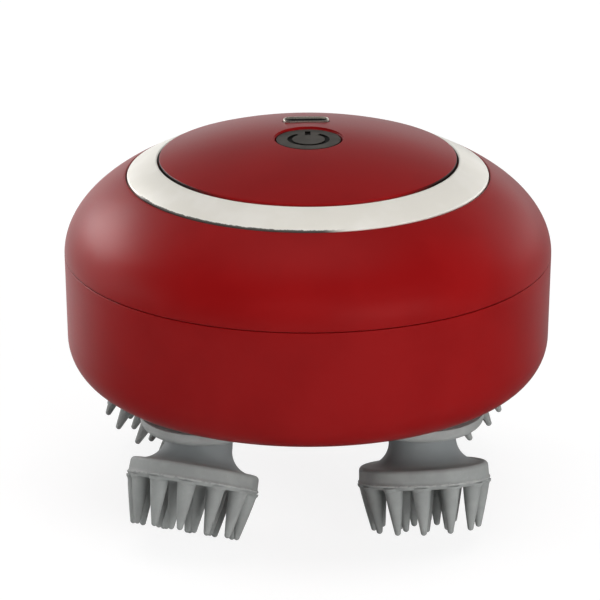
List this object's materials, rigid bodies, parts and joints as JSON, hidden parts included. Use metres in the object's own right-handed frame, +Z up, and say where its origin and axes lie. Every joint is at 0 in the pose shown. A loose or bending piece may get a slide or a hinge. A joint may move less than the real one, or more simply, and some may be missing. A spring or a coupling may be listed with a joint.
{
  "type": "electric scalp massager",
  "caption": "Palm-sized rechargeable scalp massager: a round dome with a power button and charging port on top, and tilted, turning silicone heads with prongs underneath.",
  "frame": {"origin": "on the table under the middle of the dome, which stands on its prongs", "axes": "+Z up through the cap; -Y to the front, where the power button lies nearest; +X to the right"},
  "size_m": [0.095, 0.095, 0.0751],
  "materials": {
    "red_shell": "soft-touch",
    "pale_trim": "satin",
    "silicone": "matte",
    "turret": "satin",
    "button_rubber": "matte",
    "seal_rubber": "matte",
    "port_metal": "bright",
    "black_plastic": "matte",
    "nylon": "satin",
    "steel": "ground",
    "bronze": "turned",
    "magnet": "sintered",
    "cell_wrap": "wrapped",
    "lead_cover": "smooth",
    "board": "coated",
    "clear": "clear"
  },
  "bodies": {
    "housing": {"lower_housing": "red_shell", "upper_cover": "red_shell", "trim_ring": "pale_trim", "top_cap": "red_shell", "housing_gasket": "seal_rubber", "gear_case": "nylon", "gear_case_cover": "nylon", "lower_bushes": "bronze", "upper_bushes": "bronze", "shaft_seals": "seal_rubber", "drive_axles": "steel", "reduction_axle": "steel", "motor_can": "steel", "motor_magnet": "magnet", "motor_end_cap": "black_plastic", "battery_cell": "cell_wrap", "battery_cradle": "black_plastic", "battery_leads": "lead_cover", "motor_leads": "lead_cover", "circuit_board": "board", "board_chips": "black_plastic", "switch_body": "black_plastic", "usb_shell": "port_metal", "usb_tongue": "black_plastic", "status_led": "clear", "indicator_lens": "clear", "cover_screws": "steel", "gear_case_screws": "steel", "motor_screws": "steel", "board_screws": "steel"},
    "head_front_left": {"massage_head_front_left": "silicone", "head_turret_front_left": "turret", "head_shaft_front_left": "steel", "head_gear_front_left": "nylon"},
    "head_front_right": {"massage_head_front_right": "silicone", "head_turret_front_right": "turret", "head_shaft_front_right": "steel", "head_gear_front_right": "nylon"},
    "head_rear_left": {"massage_head_rear_left": "silicone", "head_turret_rear_left": "turret", "head_shaft_rear_left": "steel", "head_gear_rear_left": "nylon"},
    "head_rear_right": {"massage_head_rear_right": "silicone", "head_turret_rear_right": "turret", "head_shaft_rear_right": "steel", "head_gear_rear_right": "nylon"},
    "left_drive": {"left_drive_gear": "nylon"},
    "right_drive": {"right_drive_gear": "nylon"},
    "reduction": {"reduction_gear": "nylon"},
    "rotor": {"motor_rotor": "bronze", "motor_shaft": "steel", "motor_pinion": "bronze"},
    "button": {"power_button": "button_rubber"},
    "plunger": {"switch_plunger": "nylon"}
  },
  "joints": [
    {"name": "front_left_head_spin", "type": "hinge", "parent": "housing", "child": "head_front_left", "pos_m": [-0.02103, -0.02103, 0], "axis": [0, 0, 1], "continuous": true},
    {"name": "front_right_head_spin", "type": "hinge", "parent": "housing", "child": "head_front_right", "pos_m": [0.02103, -0.02103, 0], "axis": [0, 0, 1], "continuous": true},
    {"name": "rear_left_head_spin", "type": "hinge", "parent": "housing", "child": "head_rear_left", "pos_m": [-0.02103, 0.02103, 0], "axis": [0, 0, 1], "continuous": true},
    {"name": "rear_right_head_spin", "type": "hinge", "parent": "housing", "child": "head_rear_right", "pos_m": [0.02103, 0.02103, 0], "axis": [0, 0, 1], "continuous": true},
    {"name": "left_drive_spin", "type": "hinge", "parent": "housing", "child": "left_drive", "pos_m": [-0.01217, 0, 0], "axis": [0, 0, 1], "continuous": true},
    {"name": "right_drive_spin", "type": "hinge", "parent": "housing", "child": "right_drive", "pos_m": [0.01217, 0, 0], "axis": [0, 0, 1], "continuous": true},
    {"name": "reduction_spin", "type": "hinge", "parent": "housing", "child": "reduction", "pos_m": [-0.00275, 0.01271, 0], "axis": [0, 0, 1], "continuous": true},
    {"name": "motor_spin", "type": "hinge", "parent": "housing", "child": "rotor", "pos_m": [0, 0, 0], "axis": [0, 0, 1], "continuous": true},
    {"name": "button_press", "type": "slide", "parent": "housing", "child": "button", "axis": [0, 0, -1], "range_m": [0, 0.0004], "stiffness_N_per_m": 4000},
    {"name": "plunger_press", "type": "slide", "parent": "housing", "child": "plunger", "axis": [0, 0, -1], "range_m": [0, 0.0004]}
  ],
  "couplings": [
    {"joint": "front_right_head_spin", "follows": "front_left_head_spin", "ratio": -1},
    {"joint": "rear_left_head_spin", "follows": "front_left_head_spin", "ratio": 1},
    {"joint": "rear_right_head_spin", "follows": "front_left_head_spin", "ratio": -1},
    {"joint": "left_drive_spin", "follows": "front_left_head_spin", "ratio": -0.875},
    {"joint": "right_drive_spin", "follows": "front_left_head_spin", "ratio": 0.875},
    {"joint": "reduction_spin", "follows": "front_left_head_spin", "ratio": 2.9167},
    {"joint": "motor_spin", "follows": "front_left_head_spin", "ratio": -9.7222},
    {"joint": "plunger_press", "follows": "button_press", "ratio": 1}
  ]
}
